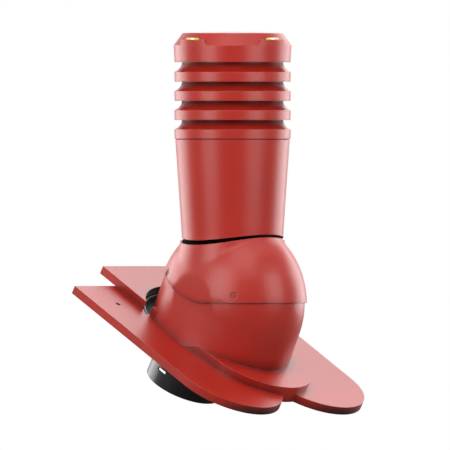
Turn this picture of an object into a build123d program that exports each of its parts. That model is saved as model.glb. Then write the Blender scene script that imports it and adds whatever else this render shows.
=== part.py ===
from build123d import *
import math
import os

# Roof tile vent: a tile base with a fixed lower dome, a turning dome shell with pipe and louvred head,
# and a round duct spigot below. Sizes are in millimetres and degrees, +Z is up and X runs along the eaves.

# General clearances and walls
FIT = 0.3
SNUG = 0.1
WALL = 3.0
THIN_WALL = 2.5
OVERSHOOT = 1.0

# Roof and tiles
ROOF_PITCH = 30.0
TILE_WIDTH = 180.0
TILE_LENGTH = 380.0
TILE_THICKNESS = 13.0
TILE_SKIN = 3.5
COURSE_STEP = 39.5
UPPER_FOOT = 181.0
PIVOT_HEIGHT = 48.3
RIB_THICKNESS = 2.5
RIB_PITCH = 62.0
NAIL_HOLE_RADIUS = 3.75
NAIL_BOSS_WALL = 3.5
NAIL_SPREAD = 266.0
NAIL_UPSLOPE = 103.0
SEAT_WIDTH = 10.0
SEAT_PROUD = 1.0
SEAT_SIDE_MARGIN = 20.0

# Opening under the dome
OPENING_MARGIN = 5.5
OPENING_UPSLOPE = 30.0
OPENING_RIM = 12.0
PIT_START = 72.0

# Ball dome: both halves are turned about the pivot axis, which runs along X
DOME_RADIUS = 130.6
DOME_HALF_WIDTH = 99.8
DOME_FLAT_CUT = 5.8
SEAM_ROUNDING = 117.0

# Fixed lower dome
FOOT_FLARE = 1.7
FOOT_FRONT_CENTRE = -8.0
FOOT_FRONT_INSET = 10.3
FOOT_REAR_CENTRE = 14.0
MOUTH_FRONT_ANGLE = 28.0
MOUTH_REAR_ANGLE = 57.5
MOUTH_HEIGHT = 38.0
FAIRING_START = 27.0
FAIRING_TOP = 51.0
FAIRING_END = 82.0
FAIRING_TAPER = 6.5

# Pipe and its foot
PIPE_BOTTOM_RADIUS = 79.5
PIPE_TOP_RADIUS = 89.5
PIPE_TOP = 255.5
PIPE_EDGE_GAP = 1.2
PIPE_EDGE_RISE = 9.0
NECK_LENGTH = 45.0
APRON_LIP = 1.0
APRON_GAP = 5.1
APRON_FOOT = 50.0
APRON_TUCK = 0.2
APRON_EDGE_RISE = 11.9

# Clamp screws above the seam
CLAMP_INSET = 21.8
CLAMP_FRONT_ANGLE = 7.8
CLAMP_REAR_ANGLE = 5.8
CLAMP_RECESS_RADIUS = 6.0
CLAMP_RECESS_DEPTH = 1.2
CLAMP_SCREW_RADIUS = 2.5
CLAMP_STAND = 0.6
CLAMP_KEY_ACROSS = 2.5

# Inner duct, ball joint and insulation
DUCT_RADIUS = 62.5
DUCT_WALL = 2.0
DUCT_RISE = 6.5
BALL_SWELL = 10.5
BALL_EDGE_DROP = 36.0
PITCH_TRAVEL = 25.0
CUP_RIM_DROP = 8.0
CUP_SEAL_HEIGHT = 4.0
CUP_SEAL_WIDTH = 4.5
BEAD_WIDTH = 4.0
BEAD_HEIGHT = 4.0
INSULATION_DROP = 17.5

# Duct socket under the tile
SPIGOT_RADIUS = 61.5
SPIGOT_END = 164.0
CHAMBER_TOP = 52.0
FLANGE_THICKNESS = 3.0
FLANGE_WIDTH = 11.0
GASKET_THICKNESS = 2.0
GASKET_WIDTH = 32.0
FLANGE_SCREWS = 6
FLANGE_SCREW_RADIUS = 2.0
FLANGE_SCREW_LENGTH = 10.0
SCREW_HEAD_FACTOR = 1.9
SCREW_HEAD_HEIGHT = 2.4
WINDOW_LENGTH = 17.7
WINDOW_HEIGHT = 5.0
WINDOW_DEPTH = 139.5

# Louvred head
RING_COUNT = 3
RING_PITCH = 30.0
BAND_HEIGHT = 15.2
BAND_OVERHANG = 1.1
BAND_DRAFT = 0.6
BAND_WALL = 2.2
BAND_TRIM = 0.7
COLLAR_GAP = 1.0
FLARE_WIDTH = 12.1
THROAT_TOP = 24.0
FLARE_HEIGHT = 14.8
FLARE_SAG = 3.4
SPIGOT_DEPTH = 15.0
POST_INSET = 6.1
POST_RADIUS = 5.5
POST_DROP = 6.0
POST_COUNT = 4
TIE_RADIUS = 2.2
TIE_GRIP = 14.0

# Cap and spirit levels
CAP_OVERHANG = 1.1
CAP_DRAFT = 1.5
CAP_LIFT = 15.3
CAP_SKIRT_HEIGHT = 26.2
CAP_SLOPE_HEIGHT = 19.4
CAP_SLOPE_WIDTH = 14.2
CAP_CROWN = 2.0
BOSS_RISE = 8.9
BOSS_TOP_WIDTH = 49.0
BOSS_BOTTOM_WIDTH = 56.0
VIAL_RADIUS = 3.0
VIAL_LENGTH = 24.0
VIAL_WALL = 0.6
VIAL_INSET = 4.0
BUBBLE_LENGTH = 7.0
BUBBLE_RADIUS = 1.5

# Places worked out from the sizes above
SIN_PITCH = math.sin(math.radians(ROOF_PITCH))
COS_PITCH = math.cos(math.radians(ROOF_PITCH))
PLATE_STEP = PIVOT_HEIGHT + TILE_THICKNESS
PLATE_UNDERSIDE = PLATE_STEP + TILE_THICKNESS
FLANGE_TOP = PLATE_UNDERSIDE + GASKET_THICKNESS
FLANGE_BOTTOM = FLANGE_TOP + FLANGE_THICKNESS
DOME_FLAT = DOME_HALF_WIDTH - DOME_FLAT_CUT
FIXED_RADIUS = DOME_RADIUS - WALL - FIT
FIXED_HALF_WIDTH = DOME_HALF_WIDTH - WALL - FIT
FIXED_FLAT = DOME_FLAT - WALL - FIT
FOOT_HALF_WIDTH = DOME_HALF_WIDTH + FOOT_FLARE
FOOT_FRONT_LENGTH = DOME_RADIUS - FOOT_FRONT_INSET
FAIRING_HALF_WIDTH = FOOT_HALF_WIDTH - FAIRING_TAPER
OPENING_RADIUS = FOOT_HALF_WIDTH + OPENING_MARGIN
FLANGE_RADIUS = OPENING_RADIUS + FLANGE_WIDTH
FLANGE_SCREW_CIRCLE = OPENING_RADIUS + FLANGE_WIDTH / 2
GASKET_INNER_RADIUS = FLANGE_RADIUS - GASKET_WIDTH
PIPE_EDGE_HIGH = math.sqrt(DOME_RADIUS**2 - PIPE_BOTTOM_RADIUS**2) + PIPE_EDGE_GAP
PIPE_EDGE_LOW = PIPE_EDGE_HIGH - PIPE_EDGE_RISE
NECK_RADIUS = PIPE_BOTTOM_RADIUS - THIN_WALL - FIT
NECK_TOP = PIPE_EDGE_HIGH + NECK_LENGTH
APRON_RADIUS = PIPE_BOTTOM_RADIUS + APRON_LIP
APRON_EDGE_LOW = PIPE_EDGE_LOW - APRON_GAP
APRON_TOP = APRON_EDGE_LOW + APRON_EDGE_RISE
APRON_FOOT_RADIUS = DOME_HALF_WIDTH * math.sqrt(1 - (APRON_FOOT / DOME_RADIUS) ** 2) - APRON_TUCK
CLAMP_OFFSET = DOME_HALF_WIDTH - CLAMP_INSET
DUCT_TOP = PIPE_TOP + DUCT_RISE
INSULATION_TOP = PIPE_TOP - INSULATION_DROP
BALL_RADIUS = DUCT_RADIUS + BALL_SWELL
CUP_RADIUS = BALL_RADIUS + FIT
BAND_BOTTOM_RADIUS = PIPE_TOP_RADIUS + BAND_OVERHANG
BAND_TOP_RADIUS = BAND_BOTTOM_RADIUS + BAND_DRAFT
THROAT_RADIUS = BAND_TOP_RADIUS - FLARE_WIDTH
POST_CIRCLE = THROAT_RADIUS - POST_INSET
HEAD_BASE_TOP = PIPE_TOP + COLLAR_GAP + BAND_HEIGHT - BAND_TRIM
LAST_RING_TOP = HEAD_BASE_TOP + RING_COUNT * RING_PITCH
CAP_RADIUS = BAND_TOP_RADIUS + CAP_OVERHANG
CAP_BOTTOM_RADIUS = CAP_RADIUS - CAP_DRAFT
CAP_TOP_RADIUS = CAP_RADIUS - CAP_SLOPE_WIDTH
CAP_SKIRT_BOTTOM = LAST_RING_TOP + CAP_LIFT
CAP_SKIRT_TOP = CAP_SKIRT_BOTTOM + CAP_SKIRT_HEIGHT
CAP_SHOULDER = CAP_SKIRT_TOP + CAP_SLOPE_HEIGHT
BOSS_TOP = CAP_SKIRT_TOP + BOSS_RISE
VIAL_CIRCLE = CAP_RADIUS - VIAL_INSET
REACH = 2 * DOME_RADIUS
ROOF = Plane(origin=(0, 0, 0), x_dir=(1, 0, 0), z_dir=(0, -SIN_PITCH, COS_PITCH))
ORIGIN = Vector(
    0,
    OPENING_UPSLOPE * COS_PITCH + FLANGE_BOTTOM * SIN_PITCH,
    OPENING_UPSLOPE * SIN_PITCH - FLANGE_BOTTOM * COS_PITCH,
)


def turned(*corners):
    """Turn a closed outline, given as radius and height, about the Z axis."""
    return revolve(Plane.XZ * make_face(Polyline(*corners, close=True)), Axis.Z)


def disc(radius, bottom, top):
    """A round block on the Z axis between two heights."""
    return Pos(0, 0, bottom) * extrude(Circle(radius), top - bottom)


def on_roof(shape):
    """Place a shape made in the roof's own frame: across, upslope, out of the roof."""
    return ROOF.location * shape


def ball(half_width, radius, flat):
    """An ellipsoid turned about the X axis, with both ends cut flat."""
    half = Ellipse(half_width, radius) & Pos(0, radius / 2) * Rectangle(2 * flat, radius)
    return revolve(Plane.XZ * half, Axis.X)


def side_profile(*corners):
    """A block across the whole dome whose outline is given as Y and Z."""
    face = Plane.YZ * make_face(Polyline(*corners, close=True))
    return extrude(face, REACH, both=True)


def above_seam():
    """The space above the dome's seam: level in front, along the roof behind, rounded between."""
    run = SEAM_ROUNDING * math.tan(math.radians(ROOF_PITCH / 2))
    front = (-run, 0)
    rear = (run * COS_PITCH, run * SIN_PITCH)
    far_front = (-REACH, 0)
    far_rear = (REACH * COS_PITCH, REACH * SIN_PITCH)
    edge = Line(far_front, front)
    edge += TangentArc(front, rear, tangent=(1, 0))
    edge += Line(rear, far_rear)
    edge += Polyline(far_rear, (REACH * COS_PITCH, REACH), (-REACH, REACH), far_front)
    return extrude(Plane.YZ * make_face(edge), REACH, both=True)


def above_saddle(low, rise, radius):
    """The space above a trough along X that rises by a given amount at a given radius."""
    bend = (radius**2 + rise**2) / (2 * rise)
    trough = Pos(0, low + bend) * Circle(bend)
    return extrude(Plane.YZ * trough, REACH, both=True)


def tile_outline(across, foot, inset=0.0):
    """A plain tile seen from above, with a round foot, its edges moved in by an inset."""
    radius = TILE_WIDTH / 2
    head = foot + TILE_LENGTH - inset
    centre = foot + radius
    straight = head - centre
    body = Pos(across, centre + straight / 2) * Rectangle(2 * (radius - inset), straight)
    return body + Pos(across, centre) * Circle(radius - inset)


def slab(outline, top, bottom):
    """A flat plate in the roof's frame, between two depths below the pivot."""
    return Pos(0, 0, -bottom) * extrude(outline, bottom - top)


def lower_outline(inset=0.0):
    """Both lower tiles side by side."""
    foot = -UPPER_FOOT - COURSE_STEP
    return tile_outline(-TILE_WIDTH / 2, foot, inset) + tile_outline(TILE_WIDTH / 2, foot, inset)


def oval(half_width, front_centre, front_length, rear_centre, rear_length):
    """A closed outline of two half ellipses joined by straight sides, front downslope."""
    front = EllipticalCenterArc((0, front_centre), half_width, front_length, 180, arc_size=180)
    rear = EllipticalCenterArc((0, rear_centre), half_width, rear_length, 0, arc_size=180)
    return make_face([front, Line(front @ 1, rear @ 0), rear, Line(rear @ 1, front @ 0)])


def foot_outline(inset):
    """The lower dome's footprint: a half ellipse in front and a half circle behind."""
    half_width = FOOT_HALF_WIDTH - inset
    return oval(half_width, FOOT_FRONT_CENTRE, FOOT_FRONT_LENGTH - inset, FOOT_REAR_CENTRE, half_width)


def lower_dome(inset):
    """The lower dome's full form in the roof's frame: ball above the pivot, flared skirt below."""
    full = ball(FIXED_HALF_WIDTH - inset, FIXED_RADIUS - inset, FIXED_FLAT - inset)
    upper = full & Pos(0, 0, REACH / 2) * Box(2 * REACH, 2 * REACH, REACH)
    waist = upper.faces().sort_by(Axis.Z)[0]
    foot = foot_outline(inset)
    flare = loft([Pos(0, 0, -PLATE_STEP) * foot, waist])
    return upper + flare + slab(foot, PLATE_STEP, PLATE_UNDERSIDE)


def mouth():
    """The space cut out of the lower dome's top, so that the duct can tilt."""
    front = math.radians(MOUTH_FRONT_ANGLE)
    rear = math.radians(MOUTH_REAR_ANGLE)
    front_edge = (-FIXED_RADIUS * math.cos(front), FIXED_RADIUS * math.sin(front))
    rear_edge = (FIXED_RADIUS * math.cos(rear), FIXED_RADIUS * math.sin(rear))
    far_front = (-REACH, front_edge[1])
    far_rear = (rear_edge[0], REACH)
    return side_profile((0, MOUTH_HEIGHT), rear_edge, far_rear, (-REACH, REACH), far_front, front_edge)


def fairing(side):
    """The ramp that leads a lower tile up to the upper tile's edge beside the dome."""
    half = TILE_WIDTH / 2
    plan = Polyline(
        (side * (half - WALL), -FAIRING_START),
        (side * FOOT_HALF_WIDTH, -FAIRING_START),
        (side * FAIRING_HALF_WIDTH, -FAIRING_TOP),
        (side * half, -FAIRING_END),
        (side * (half - WALL), -FAIRING_END),
        close=True,
    )
    ramp = Polyline(
        (-FAIRING_START, -PLATE_STEP),
        (-FAIRING_TOP, -PIVOT_HEIGHT),
        (-FAIRING_END, -PIVOT_HEIGHT),
        (-FAIRING_END, -PLATE_STEP),
        close=True,
    )
    block = slab(make_face(plan), PIVOT_HEIGHT, PLATE_STEP)
    return block & extrude(Plane.YZ * make_face(ramp), REACH, both=True)


def underside_ribs():
    """Ribs, opening rim and nail bosses that stay when the plate is hollowed from below."""
    ribs = Pos(0, OPENING_UPSLOPE) * Circle(OPENING_RADIUS + OPENING_RIM)
    first = -UPPER_FOOT - COURSE_STEP + TILE_WIDTH / 2
    last = first + TILE_LENGTH
    for step in range(int((last - first) // RIB_PITCH)):
        ribs += Pos(0, first + step * RIB_PITCH) * Rectangle(2 * TILE_WIDTH, RIB_THICKNESS)
    for side in (-1, 1):
        boss = NAIL_HOLE_RADIUS + NAIL_BOSS_WALL
        ribs += Pos(side * NAIL_SPREAD / 2, NAIL_UPSLOPE) * Circle(boss)
        ribs += Pos(side * TILE_WIDTH / 2) * Rectangle(RIB_THICKNESS, 2 * TILE_LENGTH)
    return slab(ribs, PIVOT_HEIGHT, PLATE_UNDERSIDE)


def make_tile_base():
    """Three plain tiles and the lower dome in one moulding."""
    upper = tile_outline(0, -UPPER_FOOT)
    lower_head = TILE_LENGTH - UPPER_FOOT - COURSE_STEP
    over_lower = Pos(0, lower_head - REACH) * Rectangle(REACH, 2 * REACH)
    lower = lower_outline() + (upper & over_lower)
    plates = slab(upper, PIVOT_HEIGHT, PLATE_STEP) + slab(lower, PLATE_STEP, PLATE_UNDERSIDE)
    upper_inside = tile_outline(0, -UPPER_FOOT, TILE_SKIN)
    lower_inside = lower_outline(TILE_SKIN)
    hollow = slab(upper_inside, PIVOT_HEIGHT + TILE_SKIN, PLATE_STEP)
    hollow += slab(lower_inside, PLATE_STEP + TILE_SKIN, PLATE_UNDERSIDE)
    under_upper = upper_inside & Pos(0, -TILE_SKIN) * over_lower
    hollow += slab(under_upper, PLATE_STEP - TILE_SKIN, PLATE_UNDERSIDE)
    plates -= hollow - underside_ribs()
    opening = slab(Pos(0, OPENING_UPSLOPE) * Circle(OPENING_RADIUS), PIVOT_HEIGHT - OVERSHOOT, PLATE_UNDERSIDE)
    dome = lower_dome(0)
    inside = lower_dome(WALL)
    pit = (opening - dome) & Pos(0, PIT_START + REACH / 2, 0) * Box(REACH, REACH, REACH)
    above_floor = Pos(0, 0, REACH / 2 - PIVOT_HEIGHT - TILE_SKIN) * Box(REACH, 2 * REACH, REACH)
    seat = Pos(0, lower_head - SEAT_WIDTH / 2) * Rectangle(2 * (TILE_WIDTH - SEAT_SIDE_MARGIN), SEAT_WIDTH)
    base = plates + slab(seat, PLATE_STEP + OVERSHOOT, PLATE_UNDERSIDE + SEAT_PROUD)
    base += dome + fairing(-1) + fairing(1)
    base -= inside & above_floor
    base -= inside & opening
    base -= pit
    for side in (-1, 1):
        hole = Pos(side * NAIL_SPREAD / 2, NAIL_UPSLOPE) * Circle(NAIL_HOLE_RADIUS)
        base -= slab(hole, PIVOT_HEIGHT, PLATE_UNDERSIDE)
    for place in flange_screw_places():
        base -= place * disc(FLANGE_SCREW_RADIUS, -FLANGE_TOP, -FLANGE_BOTTOM + FLANGE_SCREW_LENGTH)
    return on_roof(base) - mouth()


def flange_screw_places():
    """Centres of the flange screws, in the roof's frame."""
    ring = PolarLocations(FLANGE_SCREW_CIRCLE, FLANGE_SCREWS, start_angle=30)
    return [Pos(0, OPENING_UPSLOPE, 0) * place for place in ring]


def make_duct_socket():
    """Flange, spigot and ball cup in one moulding, on the opening's own axis."""
    rim_tilt = Rot(PITCH_TRAVEL / 2 - ROOF_PITCH, 0, 0)
    below_rim = rim_tilt * Pos(0, 0, -REACH / 2 - CUP_RIM_DROP) * Box(REACH, REACH, REACH)
    axis = Pos(0, OPENING_UPSLOPE)
    outer = (Sphere(CUP_RADIUS + THIN_WALL) & below_rim) + slab(axis * Circle(SPIGOT_RADIUS), CHAMBER_TOP, SPIGOT_END)
    outer += slab(axis * Circle(FLANGE_RADIUS), FLANGE_TOP, FLANGE_BOTTOM)
    inner_radius = SPIGOT_RADIUS - WALL
    inner = Sphere(CUP_RADIUS) + slab(axis * Circle(inner_radius), CHAMBER_TOP + WALL, SPIGOT_END + OVERSHOOT)
    socket = outer - inner
    window = Pos(0, OPENING_UPSLOPE, -WINDOW_DEPTH) * Box(3 * SPIGOT_RADIUS, WINDOW_LENGTH, WINDOW_HEIGHT)
    socket -= window
    for place in flange_screw_places():
        socket -= place * disc(FLANGE_SCREW_RADIUS + SNUG, -FLANGE_BOTTOM, -FLANGE_TOP)
    return on_roof(socket)


def make_flange_gasket():
    """Flat ring between the tile's underside and the flange."""
    axis = Pos(0, OPENING_UPSLOPE)
    ring = slab(axis * (Circle(FLANGE_RADIUS) - Circle(GASKET_INNER_RADIUS)), PLATE_UNDERSIDE, FLANGE_TOP)
    for place in flange_screw_places():
        ring -= place * disc(FLANGE_SCREW_RADIUS + SNUG, -FLANGE_TOP, -PLATE_UNDERSIDE)
    return on_roof(ring)


def make_flange_screws():
    """Screws that hold the flange up against the tile."""
    shank = disc(FLANGE_SCREW_RADIUS - SNUG, -FLANGE_BOTTOM, -FLANGE_BOTTOM + FLANGE_SCREW_LENGTH - SNUG)
    head = disc(FLANGE_SCREW_RADIUS * SCREW_HEAD_FACTOR, -FLANGE_BOTTOM - SCREW_HEAD_HEIGHT, -FLANGE_BOTTOM)
    return [on_roof(place * (shank + head)) for place in flange_screw_places()]


def make_cup_seal():
    """Lip ring on the cup's rim, round the ball end."""
    top = -CUP_RIM_DROP + CUP_SEAL_HEIGHT
    ring = disc(CUP_RADIUS + CUP_SEAL_WIDTH, -CUP_RIM_DROP, top)
    return Rot(PITCH_TRAVEL / 2, 0, 0) * (ring - Sphere(CUP_RADIUS))


def clamp_frames():
    """A plane on the dome shell for each clamp screw, with its axis out of the surface."""
    reach = DOME_RADIUS * math.sqrt(1 - (CLAMP_OFFSET / DOME_HALF_WIDTH) ** 2)
    slope = Vector(CLAMP_OFFSET / DOME_HALF_WIDTH**2, reach / DOME_RADIUS**2).normalized()
    frames = []
    for side in (-1, 1):
        for angle in (180 - CLAMP_FRONT_ANGLE, ROOF_PITCH + CLAMP_REAR_ANGLE):
            along_y = math.cos(math.radians(angle))
            along_z = math.sin(math.radians(angle))
            point = (side * CLAMP_OFFSET, reach * along_y, reach * along_z)
            normal = (side * slope.X, slope.Y * along_y, slope.Y * along_z)
            frames.append(Plane(origin=point, z_dir=normal).location)
    return frames


def make_dome_shell():
    """The turning half of the dome, with the neck that carries the pipe."""
    apron = turned(
        (DUCT_RADIUS, APRON_FOOT),
        (APRON_FOOT_RADIUS, APRON_FOOT),
        (APRON_RADIUS, APRON_TOP),
        (DUCT_RADIUS, APRON_TOP),
    )
    inner_apron = turned(
        (DUCT_RADIUS, APRON_FOOT),
        (APRON_FOOT_RADIUS - WALL, APRON_FOOT),
        (APRON_RADIUS, APRON_EDGE_LOW - WALL),
        (DUCT_RADIUS, APRON_EDGE_LOW - WALL),
    )
    shell = ball(DOME_HALF_WIDTH, DOME_RADIUS, DOME_FLAT) + apron
    shell -= above_saddle(APRON_EDGE_LOW, APRON_EDGE_RISE, APRON_RADIUS)
    shell += ball(DOME_HALF_WIDTH, DOME_RADIUS, DOME_FLAT) & disc(NECK_RADIUS, 0, REACH)
    shell += disc(NECK_RADIUS, APRON_FOOT, NECK_TOP)
    keep = ball(DOME_HALF_WIDTH, DOME_RADIUS, DOME_FLAT)
    neck_hollow = disc(NECK_RADIUS - THIN_WALL, APRON_FOOT, NECK_TOP) - keep
    shell -= neck_hollow
    shell -= ball(DOME_HALF_WIDTH - WALL, DOME_RADIUS - WALL, DOME_FLAT - WALL)
    shell -= inner_apron - disc(NECK_RADIUS, 0, REACH)
    shell -= disc(DUCT_RADIUS + FIT, 0, REACH)
    shell &= above_seam()
    for frame in clamp_frames():
        shell -= frame * disc(CLAMP_RECESS_RADIUS, -CLAMP_RECESS_DEPTH, WALL)
        shell -= frame * disc(CLAMP_SCREW_RADIUS + SNUG, -2 * WALL, 0)
    return shell


def make_clamp_screws():
    """Grub screws that lock the dome shell once the pipe stands plumb."""
    screws = []
    top = CLAMP_STAND - CLAMP_RECESS_DEPTH
    for frame in clamp_frames():
        screw = disc(CLAMP_SCREW_RADIUS, -WALL + FIT, top)
        key = Pos(0, 0, top) * extrude(RegularPolygon(CLAMP_KEY_ACROSS / 2, 6), -WALL / 2)
        screws.append(frame * (screw - key))
    return screws


def make_outer_pipe():
    """Tapered pipe whose lower edge follows the dome."""
    bottom = PIPE_EDGE_LOW - OVERSHOOT
    tube = turned(
        (PIPE_BOTTOM_RADIUS - THIN_WALL, bottom),
        (PIPE_BOTTOM_RADIUS, bottom),
        (PIPE_BOTTOM_RADIUS, PIPE_EDGE_HIGH),
        (PIPE_TOP_RADIUS, PIPE_TOP),
        (PIPE_TOP_RADIUS - THIN_WALL, PIPE_TOP),
        (PIPE_BOTTOM_RADIUS - THIN_WALL, PIPE_EDGE_HIGH),
    )
    return tube & above_saddle(PIPE_EDGE_LOW, PIPE_EDGE_RISE, PIPE_BOTTOM_RADIUS)


def bead_floor():
    """Height of the dome shell's edge round the duct, where the duct's bead rests."""
    return math.sqrt(DOME_RADIUS**2 - (DUCT_RADIUS + FIT) ** 2)


def make_inner_duct():
    """Straight duct with a ball end that sits in the socket's cup."""
    inner_ball = BALL_RADIUS - DUCT_WALL
    inner_duct = DUCT_RADIUS - DUCT_WALL
    joint = math.sqrt(BALL_RADIUS**2 - DUCT_RADIUS**2)
    tube = disc(DUCT_RADIUS, joint, DUCT_TOP)
    bead = disc(DUCT_RADIUS + BEAD_WIDTH, bead_floor(), bead_floor() + BEAD_HEIGHT)
    zone = Sphere(BALL_RADIUS) & disc(REACH, -BALL_EDGE_DROP, joint)
    return tube + bead + zone - Sphere(inner_ball) - disc(inner_duct, 0, DUCT_TOP)


def make_insulation(side):
    """One half shell of insulation round the duct, inside neck and pipe."""
    bottom = bead_floor() + BEAD_HEIGHT
    sleeve = disc(NECK_RADIUS - THIN_WALL - FIT, bottom, INSULATION_TOP)
    sleeve -= disc(DUCT_RADIUS + FIT, bottom, INSULATION_TOP)
    return sleeve & Pos(side * REACH / 2, 0, INSULATION_TOP / 2) * Box(REACH, REACH, INSULATION_TOP)


def post_places():
    """Places of the posts that stack the head's rings."""
    return [place for place in PolarLocations(POST_CIRCLE, POST_COUNT, start_angle=45)]


def louvre(top, bottom_radius):
    """Z-shaped ring: outer band, concave flare and inner throat, with its posts."""
    bottom = top - BAND_HEIGHT
    throat = top + FLARE_HEIGHT
    mid = top + FLARE_HEIGHT / 2
    mid_radius = (BAND_TOP_RADIUS + THROAT_RADIUS) / 2 - FLARE_SAG
    inner_bend = top - BAND_WALL
    outline = Line((BAND_TOP_RADIUS, top), (bottom_radius, bottom))
    outline += Polyline(
        (bottom_radius, bottom),
        (bottom_radius - BAND_WALL, bottom),
        (BAND_TOP_RADIUS - BAND_WALL, inner_bend),
    )
    outline += ThreePointArc(
        (BAND_TOP_RADIUS - BAND_WALL, inner_bend),
        (mid_radius - BAND_WALL, mid - BAND_WALL / 2),
        (THROAT_RADIUS - BAND_WALL, throat),
    )
    outline += Polyline(
        (THROAT_RADIUS - BAND_WALL, throat),
        (THROAT_RADIUS - BAND_WALL, top + THROAT_TOP),
        (THROAT_RADIUS, top + THROAT_TOP),
        (THROAT_RADIUS, throat),
    )
    outline += ThreePointArc((THROAT_RADIUS, throat), (mid_radius, mid), (BAND_TOP_RADIUS, top))
    ring = revolve(Plane.XZ * make_face(outline), Axis.Z)
    for place in post_places():
        ring += place * disc(POST_RADIUS, top - POST_DROP, top + THROAT_TOP)
    for place in post_places():
        ring -= place * disc(TIE_RADIUS + FIT, top - POST_DROP, top + THROAT_TOP)
    return ring


def make_head_base():
    """Lowest ring of the head, with a spigot that sits inside the pipe."""
    spigot_radius = PIPE_TOP_RADIUS - THIN_WALL - FIT
    shoulder = PIPE_TOP + COLLAR_GAP
    seat = PIPE_TOP_RADIUS - THIN_WALL / 2
    spigot = turned(
        (spigot_radius - BAND_WALL, PIPE_TOP - SPIGOT_DEPTH),
        (spigot_radius - OVERSHOOT, PIPE_TOP - SPIGOT_DEPTH),
        (spigot_radius, PIPE_TOP),
        (seat, PIPE_TOP),
        (seat, shoulder),
        (BAND_BOTTOM_RADIUS - OVERSHOOT, shoulder),
        (BAND_BOTTOM_RADIUS - OVERSHOOT, shoulder + BAND_WALL),
        (spigot_radius - BAND_WALL, shoulder + BAND_WALL),
    )
    band = louvre(HEAD_BASE_TOP, BAND_BOTTOM_RADIUS)
    return band + spigot - disc(REACH, HEAD_BASE_TOP - BAND_HEIGHT, shoulder) + spigot


def make_cap():
    """Domed cap with a chamfered shoulder, two level bosses and inner posts."""
    crown = ThreePointArc((CAP_TOP_RADIUS, CAP_SHOULDER), (0, CAP_SHOULDER + CAP_CROWN), (-CAP_TOP_RADIUS, CAP_SHOULDER))
    top = make_face(crown + Line((-CAP_TOP_RADIUS, CAP_SHOULDER), (CAP_TOP_RADIUS, CAP_SHOULDER)))
    top &= Pos(REACH / 2, CAP_SHOULDER) * Rectangle(REACH, REACH)
    form = turned(
        (0, CAP_SKIRT_BOTTOM),
        (CAP_BOTTOM_RADIUS, CAP_SKIRT_BOTTOM),
        (CAP_RADIUS, CAP_SKIRT_TOP),
        (CAP_TOP_RADIUS, CAP_SHOULDER),
        (0, CAP_SHOULDER),
    )
    form += revolve(Plane.XZ * top, Axis.Z)
    hollow = turned(
        (0, CAP_SKIRT_BOTTOM),
        (CAP_BOTTOM_RADIUS - THIN_WALL, CAP_SKIRT_BOTTOM),
        (CAP_RADIUS - THIN_WALL, CAP_SKIRT_TOP - THIN_WALL / 2),
        (CAP_TOP_RADIUS - THIN_WALL, CAP_SHOULDER - THIN_WALL),
        (0, CAP_SHOULDER - THIN_WALL),
    )
    boss_outline = Polyline(
        (-BOSS_BOTTOM_WIDTH / 2, CAP_SKIRT_TOP),
        (BOSS_BOTTOM_WIDTH / 2, CAP_SKIRT_TOP),
        (BOSS_TOP_WIDTH / 2, BOSS_TOP),
        (-BOSS_TOP_WIDTH / 2, BOSS_TOP),
        close=True,
    )
    boss = extrude(Plane.XZ * make_face(boss_outline), CAP_RADIUS) & disc(CAP_RADIUS, 0, REACH * 2)
    boss -= hollow
    cap = form - hollow
    for turn in level_turns():
        cap += turn * boss
    for turn in level_turns():
        cap -= turn * vial_blank(VIAL_RADIUS + SNUG, VIAL_LENGTH + 2 * SNUG)
    foot = LAST_RING_TOP + THROAT_TOP
    for place in post_places():
        cap += place * disc(POST_RADIUS, foot, CAP_SHOULDER - THIN_WALL)
        cap -= place * disc(TIE_RADIUS, foot, foot + TIE_GRIP)
    return cap


def level_turns():
    """Turns that bring a level from the front to each of its two sides."""
    return [Rot(0, 0, 0), Rot(0, 0, -90)]


def vial_blank(radius, length):
    """A cylinder lying along the front boss."""
    lying = Plane(origin=(0, -VIAL_CIRCLE, BOSS_TOP), z_dir=(1, 0, 0))
    return extrude(lying * Circle(radius), length / 2, both=True)


def bubble():
    """Air bubble at the top of a level's fluid."""
    at = Pos(0, -VIAL_CIRCLE, BOSS_TOP + VIAL_RADIUS - VIAL_WALL - BUBBLE_RADIUS)
    length = BUBBLE_LENGTH - 2 * BUBBLE_RADIUS
    body = at * Rot(0, 90, 0) * Cylinder(BUBBLE_RADIUS - SNUG, length)
    for end in (-1, 1):
        body += at * Pos(end * length / 2) * Sphere(BUBBLE_RADIUS - SNUG)
    return body


def make_vial(turn):
    """Clear tube of a spirit level."""
    inside = vial_blank(VIAL_RADIUS - VIAL_WALL, VIAL_LENGTH - 2 * VIAL_WALL)
    return turn * (vial_blank(VIAL_RADIUS, VIAL_LENGTH) - inside)


def make_fluid(turn):
    """Coloured fluid of a spirit level, with its bubble left open."""
    inside = vial_blank(VIAL_RADIUS - VIAL_WALL, VIAL_LENGTH - 2 * VIAL_WALL)
    return turn * (inside - bubble())


def make_tie_screws():
    """Long screws that clamp head base, rings and cap together."""
    bottom = HEAD_BASE_TOP - POST_DROP
    top = LAST_RING_TOP + THROAT_TOP + TIE_GRIP
    shank = disc(TIE_RADIUS - SNUG, bottom, top - SNUG)
    head = disc(TIE_RADIUS * SCREW_HEAD_FACTOR, bottom - SCREW_HEAD_HEIGHT, bottom)
    return [place * (shank + head) for place in post_places()]


def write_node(name, *shapes):
    """Move a node's solids to the part's origin and write them to one file."""
    solids = [solid for shape in shapes for solid in shape.solids()]
    moved = [Pos(-ORIGIN.X, -ORIGIN.Y, -ORIGIN.Z) * solid for solid in solids]
    node = moved[0] if len(moved) == 1 else Compound(children=moved)
    node.label = name
    export_step(node, os.path.join("parts", name + ".step"))


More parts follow.
